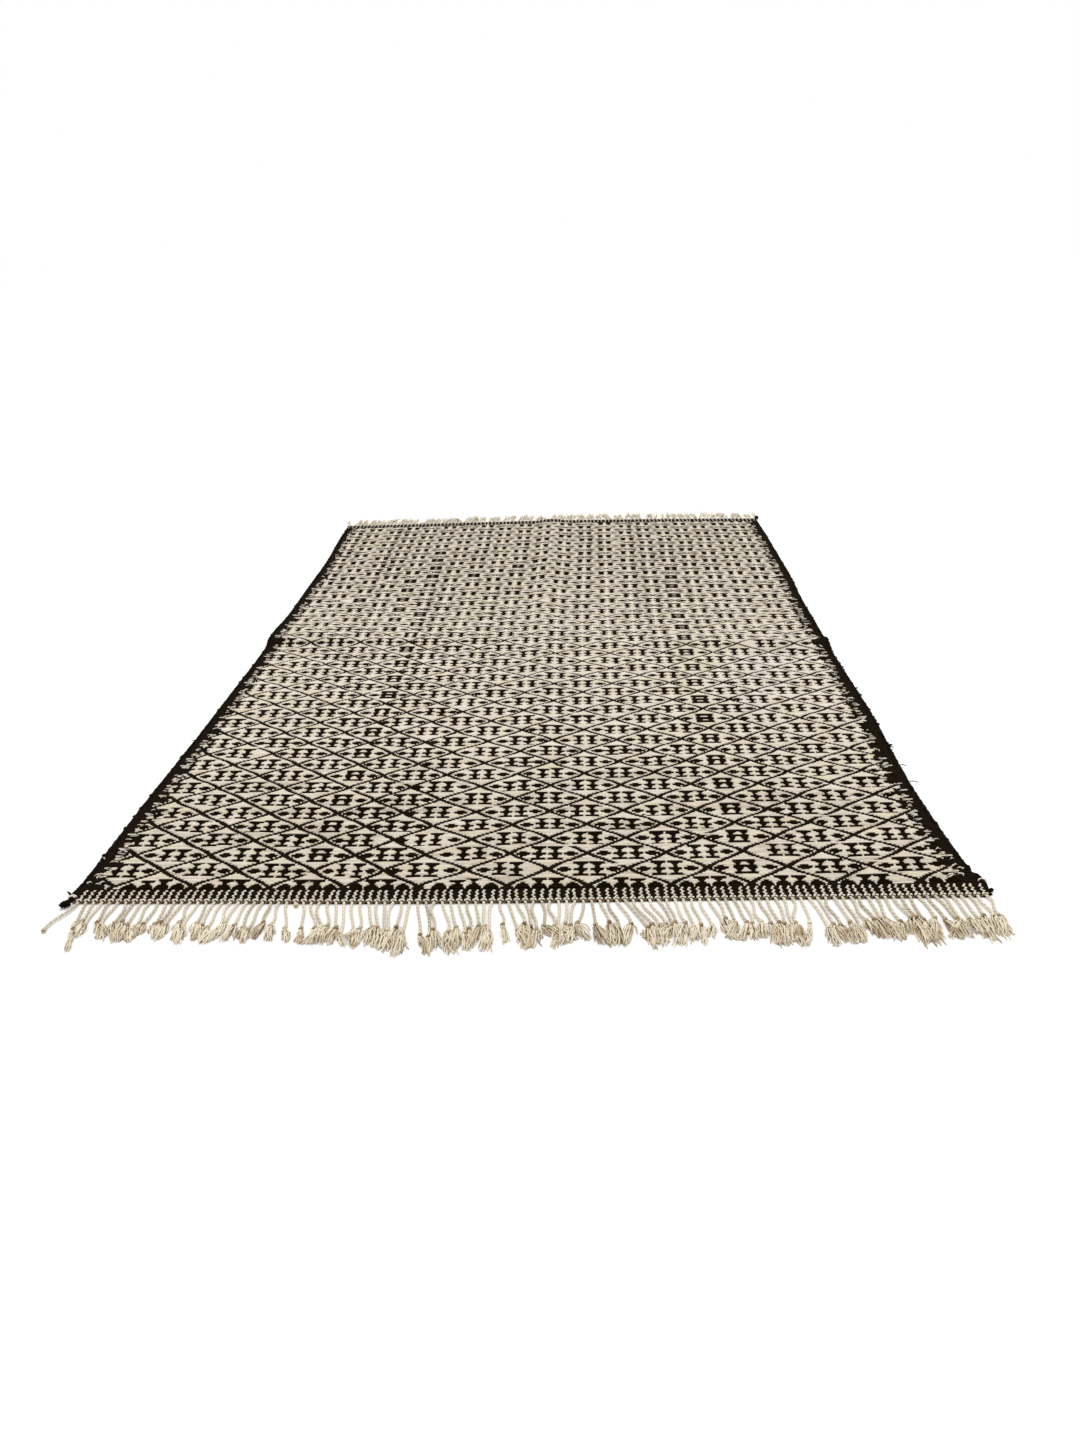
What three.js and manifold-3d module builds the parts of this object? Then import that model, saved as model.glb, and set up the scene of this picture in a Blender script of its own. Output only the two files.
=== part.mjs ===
// A flatwoven rug with raised floats, black selvages and a knotted fringe at each end,
// lying on the floor with the soft creases of its storage folds.
// Millimetres. +X runs across the rug, +Y along it from the near end to the far end,
// +Z up. The origin is on the floor, in the middle of the rug.
import * as THREE from "three";
import Module from "manifold-3d";

// Cloth thickness, from the floor to the top of the yarn.
const FIELD_THICKNESS = 6;
const SELVAGE_THICKNESS = 4;
const SELVAGE_WIDTH = 40;
const SELVAGE_RAMP = 14;
const PLAIT_BAND_THICKNESS = 5;
const PLAIT_BAND_WIDTH = 42;

// The two side edges at stations along the rug.
const SELVAGES = [
  { y: -1460, left: -916, right: 899 },
  { y: -1360, left: -914, right: 890 },
  { y: -1180, left: -910, right: 880 },
  { y: -990, left: -906, right: 875 },
  { y: -780, left: -898, right: 880 },
  { y: -590, left: -893, right: 885 },
  { y: -380, left: -889, right: 883 },
  { y: -150, left: -884, right: 881 },
  { y: 100, left: -885, right: 884 },
  { y: 380, left: -885, right: 887 },
  { y: 600, left: -886, right: 896 },
  { y: 860, left: -885, right: 899 },
  { y: 1060, left: -889, right: 900 },
  { y: 1200, left: -897, right: 902 },
  { y: 1480, left: -903, right: 899 },
];

// The outer line of the twined edge at each end, at stations across the rug.
const ENDS = [
  { x: -910, near: -1454, far: 1478 },
  { x: -600, near: -1458, far: 1487 },
  { x: -300, near: -1463, far: 1497 },
  { x: 0, near: -1464, far: 1503 },
  { x: 300, near: -1461, far: 1497 },
  { x: 600, near: -1459, far: 1484 },
  { x: 900, near: -1457, far: 1466 },
];

// The crosswise fold: its crest line, how high it stands off the floor, and how far it
// reaches towards each end.
const CROSS_FOLD = [
  { x: -900, crest: 18, rise: 14, nearReach: 48, farReach: 290 },
  { x: -350, crest: 5, rise: 7, nearReach: 80, farReach: 240 },
  { x: 250, crest: -20, rise: 5, nearReach: 110, farReach: 150 },
  { x: 900, crest: -73, rise: 15, nearReach: 90, farReach: 46 },
];

// The lengthwise fold along the middle, highest in the far half.
const LONG_FOLD = [
  { y: -1460, rise: 0 },
  { y: -700, rise: 2.5 },
  { y: 0, rise: 6 },
  { y: 900, rise: 9 },
  { y: 1500, rise: 7 },
];
const LONG_FOLD_X = 3;
const LONG_FOLD_REACH = 78;

// The twined edge that the fringe grows from.
const EDGE_DEPTH = 8;
const EDGE_HEIGHT = 6;
const EDGE_CHAMFER = 1.8;
const GAP = 0.3;

// One fringe cord for each plait of the end band.
const CORDS = 111;
const FIRST_CORD_X = -893;
const LAST_CORD_X = 889;
const CORD_WIDTH = 5.4;
const CORD_HEIGHT = 4.6;
const CORD_TOP_SHARE = 0.6;
const BEND_SHARE = 0.6;
const ROOT_DEPTH = 5;
const ROOT_RISE = 0.4;
const KNOT_WIDTH = 9.2;
const KNOT_HEIGHT = 8;
const KNOT_LENGTH = 13;
const TUFT_WIDTH = 14.5;
const TUFT_NECK_WIDTH = 7.5;
const TUFT_NECK_HEIGHT = 6.4;
const TUFT_HEIGHT = 6;
const TUFT_TIP_SHARE = 0.75;
const TUFT_TIP_HEIGHT = 2.6;
const TUFT_TIP_LENGTH = 13;
const BARE_END = 12;
const BESIDE_NEIGHBOUR = 1;
const LENGTH_STEPS = [0, 5, -3, 7, -5, 2, -7, 4];

// The bunches in which the cords lie, from left to right. left and right are the places of
// the first and last knot, knot and tip are measured out from the edge, and sweep is how far
// the loose tufts drift to the right.
const NEAR_BUNCHES = [
  { cords: 1, left: -921, right: -921, knot: 92, tip: 99, sweep: -2 },
  { cords: 1, left: -870, right: -870, knot: 92, tip: 165, sweep: 22 },
  { cords: 2, left: -858, right: -846, knot: 70, tip: 108, sweep: 6 },
  { cords: 7, left: -828, right: -733, knot: 72, tip: 132, sweep: 14 },
  { cords: 3, left: -710, right: -683, knot: 72, tip: 130, sweep: 14 },
  { cords: 3, left: -660, right: -630, knot: 78, tip: 134, sweep: 6 },
  { cords: 5, left: -618, right: -557, knot: 80, tip: 134, sweep: 4 },
  { cords: 2, left: -540, right: -524, knot: 82, tip: 126, sweep: 0 },
  { cords: 2, left: -500, right: -485, knot: 72, tip: 124, sweep: -4 },
  { cords: 1, left: -456, right: -456, knot: 80, tip: 130, sweep: 14 },
  { cords: 1, left: -452, right: -452, knot: 9, tip: 19, sweep: 2 },
  { cords: 1, left: -421, right: -421, knot: 100, tip: 142, sweep: 5 },
  { cords: 4, left: -400, right: -360, knot: 84, tip: 142, sweep: 6 },
  { cords: 2, left: -343, right: -325, knot: 90, tip: 145, sweep: 6 },
  { cords: 3, left: -304, right: -280, knot: 88, tip: 150, sweep: 0 },
  { cords: 4, left: -267, right: -228, knot: 92, tip: 168, sweep: 4 },
  { cords: 3, left: -195, right: -168, knot: 100, tip: 165, sweep: 6 },
  { cords: 3, left: -141, right: -116, knot: 92, tip: 165, sweep: -2 },
  { cords: 4, left: -102, right: -66, knot: 85, tip: 152, sweep: 0 },
  { cords: 1, left: -42, right: -42, knot: 80, tip: 142, sweep: 8 },
  { cords: 5, left: -12, right: 36, knot: 85, tip: 152, sweep: -2 },
  { cords: 5, left: 52, right: 100, knot: 84, tip: 148, sweep: 6 },
  { cords: 4, left: 137, right: 198, knot: 82, tip: 150, sweep: 4 },
  { cords: 7, left: 230, right: 302, knot: 84, tip: 155, sweep: -2 },
  { cords: 3, left: 320, right: 350, knot: 85, tip: 138, sweep: -4 },
  { cords: 6, left: 368, right: 440, knot: 78, tip: 135, sweep: 8 },
  { cords: 5, left: 466, right: 510, knot: 82, tip: 155, sweep: 0 },
  { cords: 1, left: 530, right: 530, knot: 90, tip: 155, sweep: -1 },
  { cords: 5, left: 562, right: 620, knot: 92, tip: 148, sweep: 4 },
  { cords: 5, left: 637, right: 699, knot: 78, tip: 142, sweep: 4 },
  { cords: 3, left: 725, right: 748, knot: 76, tip: 155, sweep: 4 },
  { cords: 2, left: 770, right: 785, knot: 82, tip: 145, sweep: 5 },
  { cords: 3, left: 806, right: 829, knot: 75, tip: 135, sweep: 8 },
  { cords: 2, left: 850, right: 862, knot: 68, tip: 140, sweep: -2 },
  { cords: 2, left: 878, right: 893, knot: 72, tip: 136, sweep: 0 },
];

const FAR_BUNCHES = [
  { cords: 1, left: -906, right: -906, knot: 66, tip: 104, sweep: -3 },
  { cords: 4, left: -862, right: -818, knot: 66, tip: 110, sweep: 4 },
  { cords: 4, left: -800, right: -758, knot: 60, tip: 98, sweep: 3 },
  { cords: 4, left: -738, right: -697, knot: 68, tip: 122, sweep: 6 },
  { cords: 6, left: -666, right: -598, knot: 64, tip: 112, sweep: 5 },
  { cords: 6, left: -560, right: -494, knot: 68, tip: 118, sweep: -3 },
  { cords: 3, left: -478, right: -446, knot: 62, tip: 104, sweep: 4 },
  { cords: 2, left: -434, right: -420, knot: 46, tip: 76, sweep: 2 },
  { cords: 1, left: -400, right: -400, knot: 70, tip: 116, sweep: 3 },
  { cords: 7, left: -378, right: -296, knot: 72, tip: 124, sweep: 5 },
  { cords: 4, left: -275, right: -231, knot: 64, tip: 112, sweep: -2 },
  { cords: 4, left: -206, right: -160, knot: 66, tip: 116, sweep: 4 },
  { cords: 5, left: -142, right: -86, knot: 70, tip: 122, sweep: -2 },
  { cords: 3, left: -54, right: -28, knot: 62, tip: 106, sweep: 4 },
  { cords: 5, left: 2, right: 54, knot: 68, tip: 118, sweep: 3 },
  { cords: 3, left: 74, right: 100, knot: 70, tip: 120, sweep: -3 },
  { cords: 6, left: 122, right: 188, knot: 66, tip: 112, sweep: 3 },
  { cords: 5, left: 206, right: 262, knot: 72, tip: 122, sweep: -2 },
  { cords: 3, left: 286, right: 312, knot: 58, tip: 96, sweep: 3 },
  { cords: 5, left: 338, right: 392, knot: 70, tip: 122, sweep: 4 },
  { cords: 4, left: 424, right: 466, knot: 64, tip: 110, sweep: -4 },
  { cords: 5, left: 500, right: 553, knot: 70, tip: 120, sweep: 3 },
  { cords: 2, left: 571, right: 586, knot: 64, tip: 108, sweep: 2 },
  { cords: 5, left: 606, right: 658, knot: 66, tip: 116, sweep: 4 },
  { cords: 4, left: 686, right: 724, knot: 68, tip: 118, sweep: -3 },
  { cords: 3, left: 752, right: 780, knot: 58, tip: 98, sweep: 4 },
  { cords: 4, left: 797, right: 836, knot: 68, tip: 120, sweep: 3 },
  { cords: 2, left: 861, right: 877, knot: 62, tip: 106, sweep: 3 },
  { cords: 1, left: 906, right: 906, knot: 66, tip: 112, sweep: 4 },
];

// The ends of the selvage yarns, tied or left as short stubs at the corners.
const CORNER_ENDS = [
  { name: "near_left_knot", x: -916.5, y: -1465.9, halfWidth: 11, halfDepth: 12.5, height: 13 },
  { name: "near_right_stub", x: 905.6, y: -1441, halfWidth: 8, halfDepth: 6, height: 8 },
  { name: "far_right_stub", x: 905.7, y: 1470.2, halfWidth: 7, halfDepth: 10, height: 9 },
];
const CORNER_SEGMENTS = 10;
const CORNER_RINGS = 6;
const CORNER_FLAT_SHARE = 0.7;

// Grid lines of the cloth: across it, and along it out from the crosswise crest.
const COLUMNS_X = [
  -900, -886, -860, -650, -400, -200, -78, -48, -24, 0, 24, 48, 78, 200, 400, 650, 860, 886, 900,
];
const HALF_WIDTH = 900;
const CREST_ROWS = [-110, -60, -24, 0, 20, 48, 110, 200, 300];
const PLAIN_ROWS = 7;

const IVORY = 0xd7cbb2;
const FRINGE_CREAM = 0xdacdb0;
const BLACK = 0x1e1a1a;

const wasm = await Module();
wasm.setup();

// A smooth curve through one column of a table.
function curve(table, along, column) {
  const at = table.map((row) => row[along]);
  const value = table.map((row) => row[column]);
  const last = table.length - 1;
  const slope = value.map((v, i) => {
    const before = Math.max(i - 1, 0);
    const after = Math.min(i + 1, last);
    return (value[after] - value[before]) / (at[after] - at[before]);
  });
  return (place) => {
    const p = THREE.MathUtils.clamp(place, at[0], at[last]);
    let i = 0;
    while (i < last - 1 && p > at[i + 1]) i += 1;
    const span = at[i + 1] - at[i];
    const u = (p - at[i]) / span;
    const rise = value[i] + slope[i] * span * u * (1 - u) * (1 - u);
    const blend = u * u * (3 - 2 * u);
    return rise + (value[i + 1] - value[i]) * blend + slope[i + 1] * span * u * u * (u - 1);
  };
}

const leftEdge = curve(SELVAGES, "y", "left");
const rightEdge = curve(SELVAGES, "y", "right");
const nearEnd = curve(ENDS, "x", "near");
const farEnd = curve(ENDS, "x", "far");
const crestLine = curve(CROSS_FOLD, "x", "crest");
const crossRise = curve(CROSS_FOLD, "x", "rise");
const nearReach = curve(CROSS_FOLD, "x", "nearReach");
const farReach = curve(CROSS_FOLD, "x", "farReach");
const longRise = curve(LONG_FOLD, "y", "rise");

// A rounded hump: 1 at the crest and level with the floor at its reach.
function hump(distance, reach) {
  const u = Math.min(Math.abs(distance) / reach, 1);
  return (1 - u * u) * (1 - u * u);
}

// How far the underside stands off the floor.
function lift(x, y) {
  const fromCrest = y - crestLine(x);
  const reach = fromCrest < 0 ? nearReach(x) : farReach(x);
  const across = crossRise(x) * hump(fromCrest, reach);
  const along = longRise(y) * hump(x - LONG_FOLD_X, LONG_FOLD_REACH);
  return Math.max(across, along);
}

// The cloth is thinner at its plain selvages and at the plait bands.
function thickness(fromSide, fromEnd) {
  const side = THREE.MathUtils.smoothstep(fromSide, SELVAGE_WIDTH - SELVAGE_RAMP, SELVAGE_WIDTH);
  const inner = fromEnd < PLAIT_BAND_WIDTH ? PLAIT_BAND_THICKNESS : FIELD_THICKNESS;
  return THREE.MathUtils.lerp(SELVAGE_THICKNESS, inner, side);
}

// A closed geometry with its faces turned outwards.
function closed(points, triangles) {
  let volume = 0;
  const cross = new THREE.Vector3();
  for (let i = 0; i < triangles.length; i += 3) {
    cross.crossVectors(points[triangles[i + 1]], points[triangles[i + 2]]);
    volume += points[triangles[i]].dot(cross);
  }
  const index = volume > 0 ? triangles : triangles.slice().reverse();
  const geometry = new THREE.BufferGeometry().setFromPoints(points);
  return geometry.setIndex(index);
}

// Rings of points joined one to the next and closed at both ends.
function loft(rings) {
  const sides = rings[0].length;
  const triangles = [];
  for (let r = 0; r + 1 < rings.length; r += 1) {
    for (let k = 0; k < sides; k += 1) {
      const a = r * sides + k;
      const b = r * sides + ((k + 1) % sides);
      triangles.push(a, b, b + sides, a, b + sides, a + sides);
    }
  }
  const end = (rings.length - 1) * sides;
  for (let k = 1; k + 1 < sides; k += 1) {
    triangles.push(0, k + 1, k, end, end + k, end + k + 1);
  }
  return closed(rings.flat(), triangles);
}

function solid(geometry) {
  return new wasm.Manifold(
    new wasm.Mesh({
      numProp: 3,
      vertProperties: geometry.getAttribute("position").array,
      triVerts: new Uint32Array(geometry.getIndex().array),
    }),
  );
}

function geometryOf(body) {
  const mesh = body.getMesh();
  const stride = mesh.numProp;
  const place = new Float32Array(mesh.numVert * 3);
  for (let i = 0; i < mesh.numVert; i += 1) {
    place.set(mesh.vertProperties.subarray(i * stride, i * stride + 3), i * 3);
  }
  return new THREE.BufferGeometry()
    .setAttribute("position", new THREE.BufferAttribute(place, 3))
    .setIndex(new THREE.BufferAttribute(mesh.triVerts, 1));
}

function finish(colour, roughness) {
  return new THREE.MeshStandardMaterial({ color: colour, roughness, metalness: 0 });
}

// Where a grid column meets a given Y, between the two selvages.
function across(columnX, y) {
  const share = (columnX + HALF_WIDTH) / (2 * HALF_WIDTH);
  return THREE.MathUtils.lerp(leftEdge(y), rightEdge(y), share);
}

// Y of every grid row on one column, from the near end to the far end.
function rowsOn(columnX) {
  const first = nearEnd(columnX) + EDGE_DEPTH + GAP;
  const last = farEnd(columnX) - EDGE_DEPTH - GAP;
  const crest = crestLine(columnX);
  const nearStart = first + PLAIT_BAND_WIDTH;
  const farStop = last - PLAIT_BAND_WIDTH;
  const nearStop = crest + CREST_ROWS[0];
  const farStart = crest + CREST_ROWS[CREST_ROWS.length - 1];
  const rows = [first, nearStart - 1];
  for (let i = 0; i < PLAIN_ROWS; i += 1) {
    rows.push(THREE.MathUtils.lerp(nearStart, nearStop, i / PLAIN_ROWS));
  }
  CREST_ROWS.forEach((step) => rows.push(crest + step));
  for (let i = 1; i <= PLAIN_ROWS; i += 1) {
    rows.push(THREE.MathUtils.lerp(farStart, farStop, i / PLAIN_ROWS));
  }
  rows.push(farStop + 1, last);
  return rows;
}

// The woven cloth, selvages and plait bands in one piece.
function wovenField() {
  const columns = COLUMNS_X.map(rowsOn);
  const rows = columns[0].length;
  const top = [];
  const under = [];
  COLUMNS_X.forEach((columnX, c) => {
    columns[c].forEach((y, r) => {
      const x = across(columnX, y);
      const fromSide = HALF_WIDTH - Math.abs(columnX);
      const fromEnd = Math.min(y - columns[c][0], columns[c][rows - 1] - y);
      const floor = lift(x, y);
      top.push(new THREE.Vector3(x, y, floor + thickness(fromSide, fromEnd)));
      under.push(new THREE.Vector3(x, y, floor));
    });
  });
  const below = top.length;
  const triangles = [];
  const wide = COLUMNS_X.length;
  for (let c = 0; c + 1 < wide; c += 1) {
    for (let r = 0; r + 1 < rows; r += 1) {
      const a = c * rows + r;
      const b = a + rows;
      triangles.push(a, b, b + 1, a, b + 1, a + 1);
      triangles.push(below + a, below + b + 1, below + b, below + a, below + a + 1, below + b + 1);
    }
  }
  const rim = [];
  for (let c = 0; c < wide; c += 1) rim.push(c * rows);
  for (let r = 1; r < rows; r += 1) rim.push((wide - 1) * rows + r);
  for (let c = wide - 2; c >= 0; c -= 1) rim.push(c * rows + rows - 1);
  for (let r = rows - 2; r > 0; r -= 1) rim.push(r);
  rim.forEach((a, i) => {
    const b = rim[(i + 1) % rim.length];
    triangles.push(a, below + a, below + b, a, below + b, b);
  });
  return closed(top.concat(under), triangles);
}

// The twined edge of one end, from selvage to selvage. outward is -1 at the near end.
function twinedEdge(endLine, outward) {
  const rings = COLUMNS_X.map((columnX) => {
    const outer = endLine(columnX);
    const inner = outer - outward * EDGE_DEPTH;
    const x = across(columnX, inner);
    const low = lift(x, inner);
    const high = low + EDGE_HEIGHT;
    const chamfer = outward * EDGE_CHAMFER;
    return [
      new THREE.Vector3(x, inner, low),
      new THREE.Vector3(x, outer, low),
      new THREE.Vector3(x, outer, high - EDGE_CHAMFER),
      new THREE.Vector3(x, outer - chamfer, high),
      new THREE.Vector3(x, inner + chamfer, high),
      new THREE.Vector3(x, inner, high - EDGE_CHAMFER),
    ];
  });
  return loft(rings);
}

// Where each cord of an end leaves the edge, is knotted and stops.
function laidOut(bunches) {
  const pitch = (LAST_CORD_X - FIRST_CORD_X) / (CORDS - 1);
  const cords = [];
  bunches.forEach((bunch) => {
    for (let k = 0; k < bunch.cords; k += 1) {
      const share = bunch.cords > 1 ? k / (bunch.cords - 1) : 0;
      const step = bunch.cords > 1 ? LENGTH_STEPS[cords.length % LENGTH_STEPS.length] : 0;
      cords.push({
        root: FIRST_CORD_X + pitch * cords.length,
        knotX: THREE.MathUtils.lerp(bunch.left, bunch.right, share),
        knot: bunch.knot + step / 2,
        tip: bunch.tip + step,
        sweep: bunch.sweep,
      });
    }
  });
  return cords;
}

// X of a cord at a distance out from the edge, or nothing past its tip.
function placeAt(cord, out) {
  if (!cord || out > cord.tip) return undefined;
  const { lerp } = THREE.MathUtils;
  const bend = cord.knot / 2;
  const bendX = lerp(cord.root, cord.knotX, BEND_SHARE);
  if (out < bend) return lerp(cord.root, bendX, (out + ROOT_DEPTH) / (bend + ROOT_DEPTH));
  if (out < cord.knot) return lerp(bendX, cord.knotX, (out - bend) / (cord.knot - bend));
  return lerp(cord.knotX, cord.knotX + cord.sweep, (out - cord.knot) / (cord.tip - cord.knot));
}

// The width a cord may have at a distance out, beside its two neighbours.
function roomAt(cords, i, out) {
  const own = placeAt(cords[i], out);
  const beside = [cords[i - 1], cords[i + 1]]
    .map((neighbour) => placeAt(neighbour, out))
    .filter((x) => x !== undefined)
    .map((x) => Math.abs(x - own) - BESIDE_NEIGHBOUR);
  return Math.min(TUFT_WIDTH, ...beside);
}

// One fringe cord: twisted stem, knot and loose tuft, lying on the floor. A plain one has
// no separate stem end and tuft neck.
function fringeCord(cords, i, endLine, outward, plain) {
  const cord = cords[i];
  const edgeY = endLine(cord.root);
  const rootLow = lift(cord.root, edgeY - outward * EDGE_DEPTH) + ROOT_RISE;
  const bend = cord.knot / 2;
  const beforeKnot = cord.knot - KNOT_LENGTH / 2;
  const afterKnot = cord.knot + KNOT_LENGTH / 2;
  const knotWidth = Math.min(KNOT_WIDTH, roomAt(cords, i, cord.knot));
  const loose = cord.tip - cord.knot > BARE_END;
  const wide = loose ? cord.tip - TUFT_TIP_LENGTH : cord.knot;
  const tuftWidth = loose ? Math.min(roomAt(cords, i, wide), roomAt(cords, i, cord.tip)) : knotWidth;
  const stations = [
    { out: -ROOT_DEPTH, width: CORD_WIDTH, high: CORD_HEIGHT, low: rootLow },
    { out: bend, width: CORD_WIDTH, high: CORD_HEIGHT, low: 0 },
  ];
  if (!plain && beforeKnot > bend) {
    stations.push({ out: beforeKnot, width: CORD_WIDTH, high: CORD_HEIGHT, low: 0 });
  }
  stations.push({ out: cord.knot, width: knotWidth, high: KNOT_HEIGHT, low: 0 });
  if (loose && !plain) {
    const neck = Math.min(TUFT_NECK_WIDTH, knotWidth);
    stations.push({ out: afterKnot, width: neck, high: TUFT_NECK_HEIGHT, low: 0 });
  }
  if (loose) stations.push({ out: wide, width: tuftWidth, high: TUFT_HEIGHT, low: 0 });
  stations.push({
    out: cord.tip,
    width: tuftWidth * TUFT_TIP_SHARE,
    high: TUFT_TIP_HEIGHT,
    low: 0,
  });
  const rings = stations.map(({ out, width, high, low }) => {
    const x = placeAt(cord, out);
    const y = edgeY + outward * out;
    const half = width / 2;
    return [
      new THREE.Vector3(x - half, y, low),
      new THREE.Vector3(x + half, y, low),
      new THREE.Vector3(x + half * CORD_TOP_SHARE, y, low + high),
      new THREE.Vector3(x - half * CORD_TOP_SHARE, y, low + high),
    ];
  });
  return loft(rings);
}

// A twined edge with its fringe cords growing out of it.
function fringedEdge(bunches, endLine, outward, plain) {
  const cords = laidOut(bunches);
  let whole = solid(twinedEdge(endLine, outward));
  cords.forEach((cord, i) => {
    whole = whole.add(solid(fringeCord(cords, i, endLine, outward, plain)));
  });
  return geometryOf(whole);
}

// A rounded knot or stub of yarn with a flat where it lies on the floor.
function cornerEnd({ halfWidth, halfDepth, height }) {
  const half = height / (1 + CORNER_FLAT_SHARE);
  const ball = new THREE.SphereGeometry(1, CORNER_SEGMENTS, CORNER_RINGS);
  ball.rotateX(Math.PI / 2);
  const place = ball.getAttribute("position");
  for (let i = 0; i < place.count; i += 1) {
    const level = Math.max(place.getZ(i), -CORNER_FLAT_SHARE);
    const z = (level + CORNER_FLAT_SHARE) * half;
    place.setXYZ(i, place.getX(i) * halfWidth, place.getY(i) * halfDepth, z);
  }
  return ball;
}

const rug = new THREE.Group();

function addPiece(name, geometry, material) {
  const piece = new THREE.Mesh(geometry, material);
  piece.name = name;
  rug.add(piece);
  return piece;
}

const ivoryWool = finish(IVORY, 0.95);
const fringeYarn = finish(FRINGE_CREAM, 0.95);
const blackWool = finish(BLACK, 0.95);

addPiece("woven_field", wovenField(), ivoryWool);
addPiece("near_fringe", fringedEdge(NEAR_BUNCHES, nearEnd, -1, false), fringeYarn);
addPiece("far_fringe", fringedEdge(FAR_BUNCHES, farEnd, 1, true), fringeYarn);
CORNER_ENDS.forEach((end) => {
  addPiece(end.name, cornerEnd(end), blackWool).position.set(end.x, end.y, 0);
});

export default rug;
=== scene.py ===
"""Looks of a flatwoven rug: black ground and selvages, ivory floats, knotted fringe."""

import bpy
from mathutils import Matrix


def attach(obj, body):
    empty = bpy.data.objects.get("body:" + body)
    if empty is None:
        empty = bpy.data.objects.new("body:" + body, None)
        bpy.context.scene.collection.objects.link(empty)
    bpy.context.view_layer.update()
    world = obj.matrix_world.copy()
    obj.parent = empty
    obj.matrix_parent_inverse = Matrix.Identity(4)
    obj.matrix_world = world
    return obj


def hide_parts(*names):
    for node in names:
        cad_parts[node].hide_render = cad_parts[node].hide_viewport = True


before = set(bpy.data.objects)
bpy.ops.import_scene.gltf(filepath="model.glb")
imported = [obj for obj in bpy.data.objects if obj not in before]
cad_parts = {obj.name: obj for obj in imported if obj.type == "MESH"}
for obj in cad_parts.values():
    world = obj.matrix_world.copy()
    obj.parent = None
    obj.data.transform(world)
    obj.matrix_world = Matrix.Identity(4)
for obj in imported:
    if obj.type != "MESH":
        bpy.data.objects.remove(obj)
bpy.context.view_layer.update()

import math

import bpy
import numpy as np
from mathutils import Matrix, Vector

MM = 0.001
random_from = np.random.default_rng


# ----- Sizes of the rug, in millimetres, as its solids have them -----

def table(columns, *rows):
    """A short table as one array for each named column."""
    return {name: np.array([row[i] for row in rows], float)
            for i, name in enumerate(columns.split())}


SELVAGES = table(
    "y left right",
    (-1460, -916, 899), (-1360, -914, 890), (-1180, -910, 880), (-990, -906, 875),
    (-780, -898, 880), (-590, -893, 885), (-380, -889, 883), (-150, -884, 881),
    (100, -885, 884), (380, -885, 887), (600, -886, 896), (860, -885, 899),
    (1060, -889, 900), (1200, -897, 902), (1480, -903, 899))
ENDS = table(
    "x near far",
    (-910, -1454, 1478), (-600, -1458, 1487), (-300, -1463, 1497), (0, -1464, 1503),
    (300, -1461, 1497), (600, -1459, 1484), (900, -1457, 1466))
CROSS_FOLD = table(
    "x crest rise nearReach farReach",
    (-900, 18, 14, 48, 290), (-350, 5, 7, 80, 240), (250, -20, 5, 110, 150),
    (900, -73, 15, 90, 46))
LONG_FOLD = table("y rise", (-1460, 0), (-700, 2.5), (0, 6), (900, 9), (1500, 7))
LONG_FOLD_X = 3
LONG_FOLD_REACH = 78

HALF_WIDTH = 900
EDGE_DEPTH = 8          # twined edge, measured along the rug
PLAIT_BAND = 42         # band of small plaits next to it
GAP = 0.3               # between the twined edge and the cloth
GROUND = 4.0            # thickness of the black ground
SELVAGE = 4.0           # thickness of the black selvages
BAND_GROUND = 3.4       # thickness of the black ground of the plait band
RELIEF = 1.9            # ivory floats stand this much over the ground
BLACK_RELIEF = 1.75     # black yarns of the figures, a little lower


def curve(columns, along, column):
    """A smooth line through one column of a table, level past its ends."""
    at, value = columns[along], columns[column]
    last = len(at) - 1
    before = np.maximum(np.arange(last + 1) - 1, 0)
    after = np.minimum(np.arange(last + 1) + 1, last)
    slope = (value[after] - value[before]) / (at[after] - at[before])

    def place(where):
        p = np.clip(where, at[0], at[-1])
        i = np.clip(np.searchsorted(at, p, side="right") - 1, 0, last - 1)
        span = at[i + 1] - at[i]
        u = (p - at[i]) / span
        blend = u * u * (3 - 2 * u)
        return (value[i] + slope[i] * span * u * (1 - u) ** 2
                + (value[i + 1] - value[i]) * blend + slope[i + 1] * span * u * u * (u - 1))
    return place


left_edge, right_edge = (curve(SELVAGES, "y", side) for side in ("left", "right"))
near_end, far_end = (curve(ENDS, "x", end) for end in ("near", "far"))
crest_line, cross_rise, near_reach, far_reach = (
    curve(CROSS_FOLD, "x", name) for name in ("crest", "rise", "nearReach", "farReach"))
long_rise = curve(LONG_FOLD, "y", "rise")


def hump(distance, reach):
    """Share of a fold's height: 1 at its crest, 0 from its reach on."""
    u = np.minimum(np.abs(distance) / reach, 1)
    return (1 - u * u) ** 2


def lift(x, y):
    """How far the underside of the cloth stands off the floor."""
    from_crest = y - crest_line(x)
    reach = np.where(from_crest < 0, near_reach(x), far_reach(x))
    across = cross_rise(x) * hump(from_crest, reach)
    along = long_rise(y) * hump(x - LONG_FOLD_X, LONG_FOLD_REACH)
    return np.maximum(across, along)


def smooth(value, low, high):
    """0 up to low, 1 from high on, with a soft rise between them."""
    u = np.clip((value - low) / (high - low), 0, 1)
    return u * u * (3 - 2 * u)


# ----- Finishes -----

def both_ways(operation):
    """An operator of a level with a level or a number, and its reflected twin."""
    def plain(self, other):
        return self.sum(operation, self, other)

    def reflected(self, other):
        return self.sum(operation, other, self)
    return plain, reflected


class Level:
    """A socket of a finish that takes part in sums."""

    def __init__(self, finish, socket):
        self.finish = finish
        self.socket = socket

    def sum(self, operation, *values):
        return self.finish.node("Math", dict(operation=operation), dict(enumerate(values)))

    __add__, __radd__ = both_ways("ADD")
    __sub__, __rsub__ = both_ways("SUBTRACT")
    __mul__, __rmul__ = both_ways("MULTIPLY")


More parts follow.
